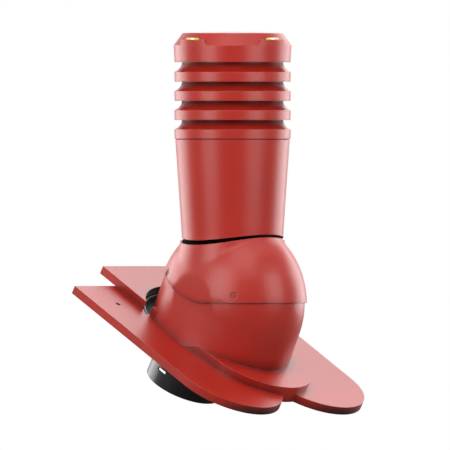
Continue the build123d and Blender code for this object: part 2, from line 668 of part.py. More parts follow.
def main():
    os.makedirs("parts", exist_ok=True)
    write_node("tile_base", make_tile_base())
    write_node("duct_socket", make_duct_socket())
    write_node("flange_gasket", make_flange_gasket())
    write_node("flange_screws", *make_flange_screws())
    write_node("cup_seal", make_cup_seal())
    write_node("dome_shell", make_dome_shell())
    write_node("clamp_screws", *make_clamp_screws())
    write_node("outer_pipe", make_outer_pipe())
    write_node("inner_duct", make_inner_duct())
    write_node("insulation_left", make_insulation(-1))
    write_node("insulation_right", make_insulation(1))
    write_node("head_base", make_head_base())
    for number in range(1, RING_COUNT + 1):
        write_node(f"louvre_ring_{number}", louvre(HEAD_BASE_TOP + number * RING_PITCH, BAND_BOTTOM_RADIUS))
    write_node("cap", make_cap())
    write_node("tie_screws", *make_tie_screws())
    for side, turn in zip(("right", "left"), level_turns()):
        write_node(f"level_vial_{side}", make_vial(turn))
        write_node(f"level_fluid_{side}", make_fluid(turn))


main()
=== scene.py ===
import math

import bpy
from bpy.props import FloatProperty, FloatVectorProperty, IntProperty, PointerProperty
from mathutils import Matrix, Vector


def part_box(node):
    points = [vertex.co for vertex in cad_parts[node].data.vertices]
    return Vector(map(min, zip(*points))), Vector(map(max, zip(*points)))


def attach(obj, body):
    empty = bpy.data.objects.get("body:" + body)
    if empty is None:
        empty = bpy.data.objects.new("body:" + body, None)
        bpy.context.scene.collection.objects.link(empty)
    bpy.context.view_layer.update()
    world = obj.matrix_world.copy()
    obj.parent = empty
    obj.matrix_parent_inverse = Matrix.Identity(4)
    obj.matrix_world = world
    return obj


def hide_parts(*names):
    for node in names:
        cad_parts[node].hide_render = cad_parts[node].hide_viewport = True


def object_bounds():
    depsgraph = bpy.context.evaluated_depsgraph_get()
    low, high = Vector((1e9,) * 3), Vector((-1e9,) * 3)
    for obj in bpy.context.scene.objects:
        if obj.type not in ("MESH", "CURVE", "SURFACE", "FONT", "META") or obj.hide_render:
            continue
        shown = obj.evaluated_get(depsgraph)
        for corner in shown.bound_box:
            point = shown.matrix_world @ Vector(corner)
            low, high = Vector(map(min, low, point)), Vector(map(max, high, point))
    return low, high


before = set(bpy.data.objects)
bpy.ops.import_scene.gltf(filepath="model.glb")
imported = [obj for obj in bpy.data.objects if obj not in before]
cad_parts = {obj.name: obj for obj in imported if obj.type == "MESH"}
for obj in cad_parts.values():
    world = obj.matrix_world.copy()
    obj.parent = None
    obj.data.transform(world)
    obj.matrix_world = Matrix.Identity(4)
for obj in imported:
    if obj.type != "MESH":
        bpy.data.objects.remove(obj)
cad_low, cad_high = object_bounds()

bl_info = {
    "name": "Roof tile vent finish",
    "version": (1, 0, 0),
    "blender": (4, 5, 0),
    "location": "View3D > Sidebar > Roof vent",
    "description": "Models and finishes the visible pieces of a roof tile vent on its fixed frame",
    "category": "Object",
}

# The pipe, the head and the cap stand on one upright axis, which passes through the dome's pivot.
PIPE_LOW, PIPE_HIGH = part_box("outer_pipe")
CAP_LOW, CAP_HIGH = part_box("cap")
RING_LOW, RING_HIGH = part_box("louvre_ring_1")
AXIS_Y = (PIPE_LOW.y + PIPE_HIGH.y) / 2
RING_BAND_RADIUS = (RING_HIGH.x - RING_LOW.x) / 2

# The tiles' slope, the direction square to them and the direction up along them
ROOF_PITCH = math.radians(30.0)
OUTWARD = Vector((0, -math.sin(ROOF_PITCH), math.cos(ROOF_PITCH)))
UPSLOPE = Vector((0, math.cos(ROOF_PITCH), math.sin(ROOF_PITCH)))


def length_property(name, description, default):
    """A property that is a length."""
    return FloatProperty(name=name, description=description, default=default, unit="LENGTH")


def power_property(name, description, default):
    """A property that is a lamp's power."""
    return FloatProperty(name=name, description=description, default=default, unit="POWER")


def share_property(name, description, default):
    """A property that goes from 0 to 1."""
    return FloatProperty(name=name, description=description, default=default, min=0, max=1)


def colour_property(name, description, default):
    """A property that is a colour."""
    return FloatVectorProperty(
        name=name, description=description, subtype="COLOR", size=3, default=default
    )


def facet_property(description):
    """A property for the number of facets round a turned piece."""
    return IntProperty(name="Segments", description=description, default=160, min=24, max=360)


class VentPipeSizes(bpy.types.PropertyGroup):
    """Sizes of the tapered pipe between dome and head."""

    bottom_radius: length_property("Bottom radius", "Outer radius at the pipe's foot", 0.0795)
    top_radius: length_property("Top radius", "Outer radius under the head", 0.0895)
    wall: length_property("Wall", "Wall thickness of the pipe", 0.0025)
    edge_rise: length_property(
        "Edge rise", "How far the lower edge rises from the sides to the front and back", 0.009
    )
    edge_trim: length_property("Edge trim", "Extra gap between the lower edge and the dome", 0.002)
    edge_rounding: length_property("Edge rounding", "Rounding of the pipe's rims", 0.0004)
    segments: facet_property("Facets round the pipe")


class VentHeadSizes(bpy.types.PropertyGroup):
    """Sizes of the louvre rings and the head's lowest ring."""

    band_height: length_property("Band height", "Height of a ring's outer band", 0.0152)
    band_draft: length_property("Band draft", "How much a band narrows to its lower edge", 0.0006)
    band_wall: length_property("Wall", "Wall of a ring", 0.0022)
    throat_radius: length_property("Throat radius", "Outer radius of a ring's inner neck", 0.0791)
    throat_top: length_property("Throat top", "Height of the neck over the band's top", 0.024)
    flare_height: length_property(
        "Flare height", "Height of the hollow flare over the band", 0.0148
    )
    flare_sag: length_property("Flare hollow", "How far the flare curves in", 0.0034)
    edge_rounding: length_property("Edge rounding", "Rounding of the bands' edges", 0.0006)
    post_circle: length_property("Post circle", "Radius on which the posts stand", 0.073)
    post_radius: length_property("Post radius", "Radius of a post", 0.0055)
    segments: facet_property("Facets round a ring")


class VentCapSizes(bpy.types.PropertyGroup):
    """Sizes of the cap and of the bosses that carry the spirit levels."""

    skirt_radius: length_property("Skirt radius", "Widest radius, at the skirt's top", 0.0923)
    skirt_draft: length_property("Skirt draft", "How much the skirt narrows downwards", 0.0015)
    skirt_height: length_property("Skirt height", "Height of the upright skirt", 0.0262)
    slope_width: length_property("Slope width", "Width of the sloping shoulder", 0.0142)
    slope_height: length_property("Slope height", "Height of the sloping shoulder", 0.0194)
    wall: length_property("Wall", "Wall of the cap", 0.0025)
    boss_rise: length_property("Boss rise", "Height of a level's boss over the skirt", 0.0089)
    boss_width: length_property("Boss width", "Width of a boss at its foot", 0.056)
    boss_top_width: length_property("Boss top width", "Width of a boss at its top", 0.049)
    level_circle: length_property("Level circle", "Distance of the levels from the axis", 0.0883)
    level_radius: length_property("Level radius", "Radius of the hollow for a level", 0.0031)
    level_length: length_property("Level length", "Length of the hollow for a level", 0.0242)
    edge_rounding: length_property("Edge rounding", "Rounding of the cap's edges", 0.0008)


class VentMouldingSizes(bpy.types.PropertyGroup):
    """Rounding of the edges that the mould leaves on tiles, domes and spigot."""

    tile_rounding: length_property("Tile rounding", "Rounding of the tiles' edges", 0.0008)
    dome_rounding: length_property("Dome rounding", "Rounding of the dome shell's edges", 0.0005)
    spigot_rounding: length_property("Spigot rounding", "Rounding of the spigot's edges", 0.0006)
    collar_radius: length_property(
        "Collar radius", "Outer radius of the wall on the spigot's flange", 0.1055
    )
    collar_height: length_property(
        "Collar height", "Height of that wall above the flange's foot", 0.018
    )
    collar_start: length_property(
        "Collar start", "Distance upslope at which the wall starts", 0.0423
    )
    collar_wall: length_property("Collar wall", "Thickness of that wall", 0.0025)


class VentFinishColours(bpy.types.PropertyGroup):
    """Colours of the plastics, foam, rubber and levels."""

    roof_red: colour_property("Brick red", "Through-coloured plastic", (0.43, 0.019, 0.009))
    duct_black: colour_property("Duct black", "Plastic of the spigot", (0.012, 0.012, 0.013))
    duct_grey: colour_property("Duct grey", "Plastic of the inner duct", (0.06, 0.063, 0.067))
    foam_white: colour_property("Foam white", "Insulation sleeve", (0.72, 0.72, 0.68))
    seal_black: colour_property("Seal black", "Rubber seal and gasket", (0.018, 0.018, 0.018))
    screw_steel: colour_property("Screw steel", "Zinc-plated screws", (0.55, 0.55, 0.56))
    level_green: colour_property("Level fluid", "Fluid of the spirit levels", (0.75, 0.72, 0.02))


class VentStageSettings(bpy.types.PropertyGroup):
    """Camera, lamps and floor."""

    view_width: length_property("View width", "Width that the level camera sees", 0.703125)
    view_turn: FloatProperty(
        name="View turn",
        description="Turn of the camera about the upright axis",
        default=-math.pi / 4,
        subtype="ANGLE",
    )
    view_centre: FloatVectorProperty(
        name="View centre",
        description="Point at the picture's centre",
        size=3,
        subtype="TRANSLATION",
        default=(-0.00834, -0.05729, 0.17555),
    )
    fill: share_property("Fill", "Brightness of the even light from all round", 0.07)
    left_power: power_property("Left lamp", "Power of the wide lamp to the left", 14.0)
    right_power: power_property("Right lamp", "Power of the wide lamp to the right", 12.5)
    rim_power: power_property("Rim lamps", "Power of each lamp behind a side", 20.0)
    key_power: power_property("Key lamp", "Power of the high lamp in front", 9.0)
    front_power: power_property("Front lamp", "Power of the lamp by the camera", 0.8)
    top_power: power_property("Top lamp", "Power of the lamp overhead", 5.0)
    back_power: power_property("Back lamp", "Power of the lamp high behind", 10.0)
    floor_shade: share_property("Floor shade", "Brightness of the pale floor", 0.82)


# Modelling steps shared by the pieces

MERGE_GAP = 1e-5
POST_FACETS = 24
POST_ROUNDING = 0.08  # share of a post's radius

def deselect_all():
    """Leave edit mode and clear the selection."""
    if bpy.context.mode != "OBJECT":
        bpy.ops.object.mode_set(mode="OBJECT")
    bpy.ops.object.select_all(action="DESELECT")


def make_active(piece):
    """Select one piece alone and make it active."""
    deselect_all()
    piece.select_set(True)
    bpy.context.view_layer.objects.active = piece


def take_new_piece(name):
    """Name the primitive just added and move its place into its mesh."""
    piece = bpy.context.active_object
    piece.name = name
    piece.data.name = name
    bpy.ops.object.transform_apply(location=True, rotation=True, scale=True)
    return piece


def arc_through(start, middle, end, steps):
    """Points along the arc through three points of radius and height, without its first point."""
    (ax, ay), (bx, by), (cx, cy) = start, middle, end
    det = 2 * (ax * (by - cy) + bx * (cy - ay) + cx * (ay - by))
    a2, b2, c2 = ax * ax + ay * ay, bx * bx + by * by, cx * cx + cy * cy
    ox = (a2 * (by - cy) + b2 * (cy - ay) + c2 * (ay - by)) / det
    oy = (a2 * (cx - bx) + b2 * (ax - cx) + c2 * (bx - ax)) / det
    radius = math.hypot(ax - ox, ay - oy)
    first = math.atan2(ay - oy, ax - ox)
    sweep = (math.atan2(cy - oy, cx - ox) - first + math.pi) % (2 * math.pi) - math.pi
    turns = [first + sweep * step / steps for step in range(1, steps + 1)]
    return [(ox + radius * math.cos(turn), oy + radius * math.sin(turn)) for turn in turns]


def turned_shell(name, outline, segments, closed=True):
    """Extrude a circle ring by ring along an outline of radius and height about the pipe's axis."""
    deselect_all()
    radius, height = outline[0]
    foot = (0, AXIS_Y, height)
    bpy.ops.mesh.primitive_circle_add(vertices=segments, radius=radius, location=foot)
    piece = take_new_piece(name)
    bpy.ops.object.mode_set(mode="EDIT")
    bpy.ops.mesh.select_all(action="SELECT")
    rest = outline[1:] + (outline[:1] if closed else [])
    for next_radius, next_height in rest:
        rise = (0, 0, next_height - height)
        bpy.ops.mesh.extrude_region_move(TRANSFORM_OT_translate={"value": rise})
        scale = next_radius / radius
        bpy.ops.transform.resize(value=(scale, scale, 1), center_override=(0, AXIS_Y, next_height))
        radius, height = next_radius, next_height
    bpy.ops.mesh.select_all(action="SELECT")
    bpy.ops.mesh.remove_doubles(threshold=MERGE_GAP)
    if not closed:
        bpy.ops.mesh.fill_holes(sides=0)
    bpy.ops.mesh.normals_make_consistent(inside=False)
    bpy.ops.object.mode_set(mode="OBJECT")
    return piece


def apply_modifier(piece, modifier):
    """Apply one modifier of a piece."""
    make_active(piece)
    bpy.ops.object.modifier_apply(modifier=modifier.name)


def round_edges(piece, width, steps=2, angle=30.0):
    """Round the edges that are sharper than an angle."""
    bevel = piece.modifiers.new("edge_rounding", "BEVEL")
    bevel.width = width
    bevel.segments = steps
    bevel.limit_method = "ANGLE"
    bevel.angle_limit = math.radians(angle)
    apply_modifier(piece, bevel)


def smooth(piece, angle=35.0):
    """Shade a piece smooth, except across its sharp edges, with its broad faces kept flat."""
    make_active(piece)
    bpy.ops.object.shade_smooth_by_angle(angle=math.radians(angle))
    weighted = piece.modifiers.new("even_faces", "WEIGHTED_NORMAL")
    weighted.mode = "FACE_AREA"
    weighted.keep_sharp = True
    apply_modifier(piece, weighted)


def combine(piece, tool, operation):
    """Join a tool body to a piece, or cut it out, and remove the tool."""
    boolean = piece.modifiers.new("combine", "BOOLEAN")
    boolean.operation = operation
    boolean.object = tool
    boolean.solver = "EXACT"
    apply_modifier(piece, boolean)
    bpy.data.objects.remove(tool, do_unlink=True)


def join_pieces(piece, others):
    """Make several pieces one object."""
    make_active(piece)
    for other in others:
        other.select_set(True)
    bpy.ops.object.join()


def finish_piece(piece, body, nodes, material):
    """Give a piece its material and its body, and hide the frame nodes that it stands for."""
    piece.data.materials.clear()
    piece.data.materials.append(material)
    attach(piece, body)
    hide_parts(*nodes)


def post_places(circle):
    """Centres of the four posts round the pipe's axis."""
    turns = [math.radians(45 + 90 * step) for step in range(4)]
    return [(circle * math.cos(turn), AXIS_Y + circle * math.sin(turn)) for turn in turns]


def add_posts(circle, radius, bottom, top):
    """Four upright posts inside the head."""
    posts = []
    for x, y in post_places(circle):
        deselect_all()
        bpy.ops.mesh.primitive_cylinder_add(
            vertices=POST_FACETS,
            radius=radius,
            depth=top - bottom,
            location=(x, y, (top + bottom) / 2),
        )
        post = take_new_piece("post")
        round_edges(post, radius * POST_ROUNDING)
        posts.append(post)
    return posts


# Finishes

WHITE = (1, 1, 1, 1)

# Each noise of a moulded surface: what it gives, the size that it reads, its detail, and the
# height of its nodes in the editor
NOISES = (("Height", "Grain size", 3, 150), ("Drift", "Drift size", 4, -150))

# Moulded surfaces: the noise values between which their tone drifts, the swing of their roughness,
# the strength of their grain, the turn of a normal over which a face counts as an edge, and how
# far the colour of an edge goes to white as a painted highlight
DRIFT_BAND = (0.3, 0.7)
ROUGHNESS_SWING = 0.04
GRAIN_STRENGTH = 0.35
EDGE_TURN = (0.01, 0.2)
EDGE_HIGHLIGHT_PALENESS = 0.35

# Corner radius of the red plastic, and the wide one of the dome's soft turns
RED_CORNER = 0.0012
DOME_CORNER = 0.012

# Where the dome's soft turns lie, each range from no softness to full softness: height over the
# tiles, depth under the pipe's foot, distance to the sides, and height of the neck
OVER_TILES = (0.037, 0.047)
UNDER_PIPE = (0.0, 0.008)
SIDEWAYS = (0.082, 0.09)
NECK_HEIGHT = (0.086, 0.1)

# Painted shade in grooves: how far a surface looks round, the open share from deepest to lightest,
# the deepest tone
CAVITY_REACH = 0.035
CAVITY_OPENNESS = (0.3, 0.8)
CAVITY_DEEPEST_SHADE = 0.02

# The painted shade in the joint under the pipe: the distances from the axis at which it ends, the
# height of its foot with the fade below it, the heights at which it ends upwards, and its colour
JOINT_REACH = (0.0786, 0.0793)
JOINT_FOOT = 0.12
JOINT_FOOT_FADE = (0.0, 0.006)
JOINT_TOP = (0.155, 0.17)
JOINT_PAINTED_SHADE = (0.012, 0.002, 0.001, 1)

# Levels: half the bubble's length, its colour, and how strongly the fluid glows with painted light
BUBBLE_HALF_LENGTH = 0.0045
BUBBLE_COLOUR = (0.95, 0.95, 0.9, 1)
FLUID_PAINTED_GLOW = 0.45
TUBE_COLOUR = (0.92, 0.95, 0.82)
TUBE_REFRACTION = 1.45


def new_group(name, inputs, outputs):
    """A shader node group with named sockets."""
    group = bpy.data.node_groups.new(name, "ShaderNodeTree")
    for socket, kind, default in inputs:
        made = group.interface.new_socket(name=socket, in_out="INPUT", socket_type=kind)
        made.default_value = default
    for socket, kind in outputs:
        group.interface.new_socket(name=socket, in_out="OUTPUT", socket_type=kind)
    return group


def empty_tree(owner):
    """The node tree of a material or world, without any node."""
    owner.use_nodes = True
    owner.node_tree.nodes.clear()
    return owner.node_tree


def node(tree, kind, x, y, inputs=None, **settings):
    """Add a node at a place in a tree. Each input is a value or the socket that feeds it."""
    made = tree.nodes.new(kind)
    made.location = (x, y)
    for key, value in settings.items():
        setattr(made, key, value)
    for key, value in (inputs or {}).items():
        if isinstance(value, bpy.types.NodeSocket):
            tree.links.new(value, made.inputs[key])
        else:
            made.inputs[key].default_value = value
    return made


def group_node(tree, name, x, y, inputs=None):
    """Add a shared node group to a tree."""
    return node(tree, "ShaderNodeGroup", x, y, inputs, node_tree=bpy.data.node_groups[name])


def maths(tree, operation, x, y, *values):
    """The result of a maths node whose inputs are sockets or numbers."""
    made = node(tree, "ShaderNodeMath", x, y, dict(enumerate(values)), operation=operation)
    return made.outputs[0]


def vector_maths(tree, operation, x, y, *vectors):
    """The number that a vector maths node gives."""
    made = node(tree, "ShaderNodeVectorMath", x, y, dict(enumerate(vectors)), operation=operation)
    return made.outputs["Value"]


def remap(tree, x, y, value, source=(0.0, 1.0), target=(0.0, 1.0), kind="LINEAR"):
    """A value moved from one range to another and kept inside it."""
    limits = {
        "From Min": source[0],
        "From Max": source[1],
        "To Min": target[0],
        "To Max": target[1],
    }
    inputs = {"Value": value, **limits}
    made = node(tree, "ShaderNodeMapRange", x, y, inputs, interpolation_type=kind)
    return made.outputs["Result"]


def ramp_mask(tree, x, y, value, source):
    """A smooth mask that goes from 0 to 1 over a range of a value."""
    return remap(tree, x, y, value, source, kind="SMOOTHSTEP")


def mix_colours(tree, x, y, factor, first, second, blend="MIX"):
    """Two colours mixed. Each is a value or a socket."""
    inputs = {"Factor": factor, "A": first, "B": second}
    made = node(tree, "ShaderNodeMix", x, y, inputs, data_type="RGBA", blend_type=blend)
    return made.outputs["Result"]


def mix_shaders(tree, x, y, factor, first, second):
    """Two shaders mixed by a factor."""
    made = node(tree, "ShaderNodeMixShader", x, y, {"Fac": factor, 1: first, 2: second})
    return made.outputs["Shader"]


def object_place(tree, x, y):
    """Object coordinates, as one vector and as the sockets X, Y and Z."""
    place = node(tree, "ShaderNodeTexCoord", x, y).outputs["Object"]
    split = node(tree, "ShaderNodeSeparateXYZ", x + 200, y, {"Vector": place})
    return place, split.outputs


def principled(material):
    """The Principled shader of a material."""
    return next(made for made in material.node_tree.nodes if made.type == "BSDF_PRINCIPLED")


def source_of(shader, socket):
    """The socket that feeds one input of a shader."""
    return shader.inputs[socket].links[0].from_socket


def mould_grain_group():
    """Fine grain and slow tone drift of a moulded surface, in object coordinates."""
    group = new_group(
        "Mould grain",
        [("Grain size", "NodeSocketFloat", 0.0006), ("Drift size", "NodeSocketFloat", 0.09)],
        [("Height", "NodeSocketFloat"), ("Drift", "NodeSocketFloat")],
    )
    sizes = node(group, "NodeGroupInput", -900, 0).outputs
    place = node(group, "ShaderNodeTexCoord", -900, -250).outputs["Object"]
    results = {}
    for result, size, detail, y in NOISES:
        scale = maths(group, "DIVIDE", -600, y, 1.0, sizes[size])
        inputs = {"Vector": place, "Scale": scale, "Detail": detail}
        results[result] = node(group, "ShaderNodeTexNoise", -300, y, inputs).outputs["Fac"]
    node(group, "NodeGroupOutput", 500, 0, results)


def soft_corner_group():
    """Rounded normals at edges, and a mask of those edges."""
    group = new_group(
        "Soft corner",
        [("Radius", "NodeSocketFloat", 0.0006)],
        [("Normal", "NodeSocketVector"), ("Edge", "NodeSocketFloat")],
    )
    radius = node(group, "NodeGroupInput", -700, 0).outputs["Radius"]
    bevel = node(group, "ShaderNodeBevel", -450, 100, {"Radius": radius}, samples=4)
    rounded = bevel.outputs["Normal"]
    true_face = node(group, "ShaderNodeNewGeometry", -450, -150).outputs["Normal"]
    agree = vector_maths(group, "DOT_PRODUCT", -200, -50, rounded, true_face)
    turned_away = maths(group, "SUBTRACT", 0, -50, 1.0, agree)
    edge = remap(group, 200, -50, turned_away, EDGE_TURN)
    node(group, "NodeGroupOutput", 500, 0, {"Normal": rounded, "Edge": edge})


def dome_zone_group():
    """Mask of the dome's soft turns between the tiles and the pipe, in object coordinates."""
    group = new_group(
        "Dome zone", [("Top", "NodeSocketFloat", 0.126)], [("Mask", "NodeSocketFloat")]
    )
    top = node(group, "NodeGroupInput", -900, 200).outputs["Top"]
    place, split = object_place(group, -900, 0)
    lift = vector_maths(group, "DOT_PRODUCT", -700, -200, place, OUTWARD)
    above = ramp_mask(group, -400, -200, lift, OVER_TILES)
    depth = maths(group, "SUBTRACT", -400, 100, top, split["Z"])
    below_pipe = ramp_mask(group, -150, 100, depth, UNDER_PIPE)
    sideways = maths(group, "ABSOLUTE", -400, 350, split["X"])
    by_side = ramp_mask(group, -150, 350, sideways, SIDEWAYS)
    by_neck = ramp_mask(group, -150, 600, split["Z"], NECK_HEIGHT)
    skin = maths(group, "MULTIPLY", 150, 0, above, below_pipe)
    turns = maths(group, "MAXIMUM", 150, 450, by_side, by_neck)
    mask = maths(group, "MULTIPLY", 350, 0, skin, turns)
    node(group, "NodeGroupOutput", 600, 0, {"Mask": mask})


def painted_cavity_shade_group():
    """Painted shade: a tone that falls where a surface lies deep in a groove or corner."""
    group = new_group(
        "Cavity tone", [("Reach", "NodeSocketFloat", 0.03)], [("Tone", "NodeSocketFloat")]
    )
    reach = node(group, "NodeGroupInput", -500, 0).outputs["Reach"]
    openness = node(group, "ShaderNodeAmbientOcclusion", -250, 0, {"Distance": reach}, samples=8)
    tone = remap(group, 100, 0, openness.outputs["AO"], CAVITY_OPENNESS, (CAVITY_DEEPEST_SHADE, 1.0))
    node(group, "NodeGroupOutput", 500, 0, {"Tone": tone})


def moulded_plastic(
    name, colour, roughness, corner=0.0006, grain=0.0006, depth=0.00002, drift=0.06, edge=0.12
):
    """Moulded plastic or rubber: grain, soft corners, slight tone drift, painted edge highlight."""
    material = bpy.data.materials.new(name)
    tree = empty_tree(material)
    surface = group_node(tree, "Mould grain", -700, 0, {"Grain size": grain}).outputs
    corners = group_node(tree, "Soft corner", -700, -300, {"Radius": corner}).outputs
    tone = remap(tree, -400, 250, surface["Drift"], DRIFT_BAND, (1.0 - drift, 1.0 + drift))
    drifted = mix_colours(tree, -150, 250, 1.0, (*colour, 1.0), tone, "MULTIPLY")
    # Edges turn pale: a painted highlight where the rounded edges catch the light
    pale = [channel + (1.0 - channel) * EDGE_HIGHLIGHT_PALENESS for channel in colour]
    edge_highlight_share = maths(tree, "MULTIPLY", -150, 20, corners["Edge"], edge)
    edge_highlighted = mix_colours(tree, 100, 250, edge_highlight_share, drifted, (*pale, 1.0))
    limits = (roughness - ROUGHNESS_SWING, roughness + ROUGHNESS_SWING)
    shine = remap(tree, -150, -120, surface["Drift"], target=limits)
    relief = {
        "Strength": GRAIN_STRENGTH,
        "Distance": depth,
        "Height": surface["Height"],
        "Normal": corners["Normal"],
    }
    bump = node(tree, "ShaderNodeBump", 100, -250, relief).outputs["Normal"]
    looks = {"Base Color": edge_highlighted, "Roughness": shine, "Normal": bump}
    shader = node(tree, "ShaderNodeBsdfPrincipled", 400, 0, looks)
    node(tree, "ShaderNodeOutputMaterial", 700, 0, {"Surface": shader.outputs["BSDF"]})
    return material


def soften_dome(material, corner, wide):
    """Let the corners' radius grow over the dome, whose faces run into each other softly."""
    tree = material.node_tree
    groups = [made for made in tree.nodes if made.type == "GROUP"]
    corners = next(made for made in groups if made.node_tree.name == "Soft corner")
    zone = group_node(tree, "Dome zone", -1200, -300).outputs["Mask"]
    radius = remap(tree, -950, -300, zone, target=(corner, wide))
    tree.links.new(radius, corners.inputs["Radius"])


def paint_cavity_shade(material, reach):
    """Paint shade into a material's colour in grooves and corners."""
    tree = material.node_tree
    shader = principled(material)
    surface = source_of(shader, "Base Color")
    cavity = group_node(tree, "Cavity tone", 0, 650, {"Reach": reach}).outputs["Tone"]
    tone = mix_colours(tree, 250, 400, 1.0, surface, cavity, "MULTIPLY")
    tree.links.new(tone, shader.inputs["Base Color"])


def paint_joint_shade(material):
    """Painted shade under the pipe's foot, where the joint with the dome is in deep shade."""
    tree = material.node_tree
    shader = principled(material)
    split = object_place(tree, -1300, 700)[1]
    from_axis = maths(tree, "SUBTRACT", -900, 650, split["Y"], AXIS_Y)
    flat = node(tree, "ShaderNodeCombineXYZ", -700, 700, {"X": split["X"], "Y": from_axis})
    reach = vector_maths(tree, "LENGTH", -500, 700, flat.outputs["Vector"])
    outside = ramp_mask(tree, -300, 700, reach, JOINT_REACH)
    depth = maths(tree, "SUBTRACT", -500, 900, JOINT_FOOT, split["Z"])
    below = ramp_mask(tree, -300, 900, depth, JOINT_FOOT_FADE)
    above = ramp_mask(tree, -300, 1100, split["Z"], JOINT_TOP)
    lit = maths(tree, "MAXIMUM", -100, 800, outside, below)
    lit = maths(tree, "MAXIMUM", 0, 900, lit, above)
    tone = mix_colours(tree, 250, 500, lit, JOINT_PAINTED_SHADE, source_of(shader, "Base Color"))
    # Metallic and rough where the painted shade lies, so that it mirrors little light
    joint_shade_share = maths(tree, "SUBTRACT", 250, 700, 1.0, lit)
    sheen = maths(tree, "MAXIMUM", 250, 850, source_of(shader, "Roughness"), joint_shade_share)
    for socket, value in (("Base Color", tone), ("Metallic", joint_shade_share), ("Roughness", sheen)):
        tree.links.new(value, shader.inputs[socket])


def plated_steel(name, colour):
    """Zinc-plated steel with a faint brushed grain."""
    material = moulded_plastic(
        name,
        colour,
        roughness=0.32,
        corner=0.0002,
        grain=0.0003,
        depth=0.00001,
        drift=0.08,
        edge=0.2,
    )
    principled(material).inputs["Metallic"].default_value = 1.0


def clear_tube(name):
    """Clear plastic of a level's tube."""
    material = moulded_plastic(
        name, TUBE_COLOUR, roughness=0.08, corner=0.0002, depth=0.000005, drift=0.02, edge=0.0
    )
    shader = principled(material)
    shader.inputs["Transmission Weight"].default_value = 1.0
    shader.inputs["IOR"].default_value = TUBE_REFRACTION


def level_fluid(name, colour):
    """Yellow-green fluid of a level with the white bubble in its middle, both glowing with painted
    light.
    """
    material = moulded_plastic(name, colour, roughness=0.1, drift=0.02, edge=0.0)
    tree = material.node_tree
    shader = principled(material)
    split = object_place(tree, -900, 600)[1]
    along_x = maths(tree, "ABSOLUTE", -500, 700, split["X"])
    from_axis = maths(tree, "SUBTRACT", -500, 550, split["Y"], AXIS_Y)
    along_y = maths(tree, "ABSOLUTE", -350, 550, from_axis)
    nearest = maths(tree, "MINIMUM", -200, 600, along_x, along_y)
    bubble = maths(tree, "LESS_THAN", -50, 600, nearest, BUBBLE_HALF_LENGTH)
    tone = mix_colours(tree, 200, 500, bubble, source_of(shader, "Base Color"), BUBBLE_COLOUR)
    # Fluid and bubble glow with painted light, though they are no lamp
    for socket in ("Base Color", "Emission Color"):
        tree.links.new(tone, shader.inputs[socket])
    shader.inputs["Emission Strength"].default_value = FLUID_PAINTED_GLOW


# The finish of each frame node that keeps its own mesh
FINISHED_NODES = {
    "clamp_screws": "roof_red",
    "flange_gasket": "seal_rubber",
    "flange_screws": "screw_steel",
    "cup_seal": "seal_rubber",
    "inner_duct": "duct_grey",
    "insulation_left": "insulation",
    "insulation_right": "insulation",
    "tie_screws": "screw_steel",
    "level_vial_right": "vial_clear",
    "level_vial_left": "vial_clear",
    "level_fluid_right": "vial_fluid",
    "level_fluid_left": "vial_fluid",
}


class ROOFVENT_OT_finishes(bpy.types.Operator):
    """Make the vent's plastics, rubber, foam, steel and level finishes"""

    bl_idname = "roofvent.finishes"
    bl_label = "Make finishes"

    def execute(self, context):
        colours = context.scene.roofvent_colours
        for packed in list(bpy.data.materials):
            packed.name = f"packed_{packed.name}"
        for make_group in (mould_grain_group, soft_corner_group, dome_zone_group, painted_cavity_shade_group):
            make_group()
        red = moulded_plastic(
            "roof_red", tuple(colours.roof_red), roughness=0.34, corner=RED_CORNER, edge=0.3
        )
        soften_dome(red, RED_CORNER, DOME_CORNER)
        # Painted shade in the red plastic's grooves and corners
        paint_cavity_shade(red, CAVITY_REACH)
        # Painted shade under the pipe's foot, placed by height and distance from the pipe's axis
        paint_joint_shade(red)
        moulded_plastic("black_plastic", tuple(colours.duct_black), roughness=0.3)
        moulded_plastic("duct_grey", tuple(colours.duct_grey), roughness=0.4)
        foam = tuple(colours.foam_white)
        moulded_plastic("insulation", foam, roughness=0.8, grain=0.004, depth=0.0006)
        moulded_plastic("seal_rubber", tuple(colours.seal_black), roughness=0.6, grain=0.001)
        plated_steel("screw_steel", tuple(colours.screw_steel))
        clear_tube("vial_clear")
        level_fluid("vial_fluid", tuple(colours.level_green))
        for name, finish in FINISHED_NODES.items():
            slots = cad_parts[name].data.materials
            slots.clear()
            slots.append(bpy.data.materials[finish])
        return {"FINISHED"}


# Head: rings, lowest ring and cap

FLARE_STEPS = 10
POST_SINK = 0.006  # how far a post reaches below the top of its ring's band

# Lowest ring: the step that rests on the pipe, the spigot's play and draft inside the pipe, and
# the shares of the usual draft and edge rounding that its shorter band has
REST_HEIGHT = 0.001
SPIGOT_PLAY = 0.0003
SPIGOT_DRAFT = 0.001
SHORT_BAND_DRAFT = 0.95
SHORT_BAND_ROUNDING = 0.6

# Cap: the core that the crown closes on, the steps across the crown, where a boss starts outward
# of the axis, how far it sinks into the skirt, its share of the cap's edge rounding, and the facets
# of a level's hollow
CROWN_CORE = 0.002
CROWN_STEPS = 24
BOSS_START = 0.081
BOSS_SINK = 0.001
BOSS_ROUNDING = 0.5
HOLLOW_FACETS = 48

# Pipe: how far over the curved edge the taper starts, and the height that counts as the edge
TAPER_START = 0.0015
EDGE_BAND = 0.0005


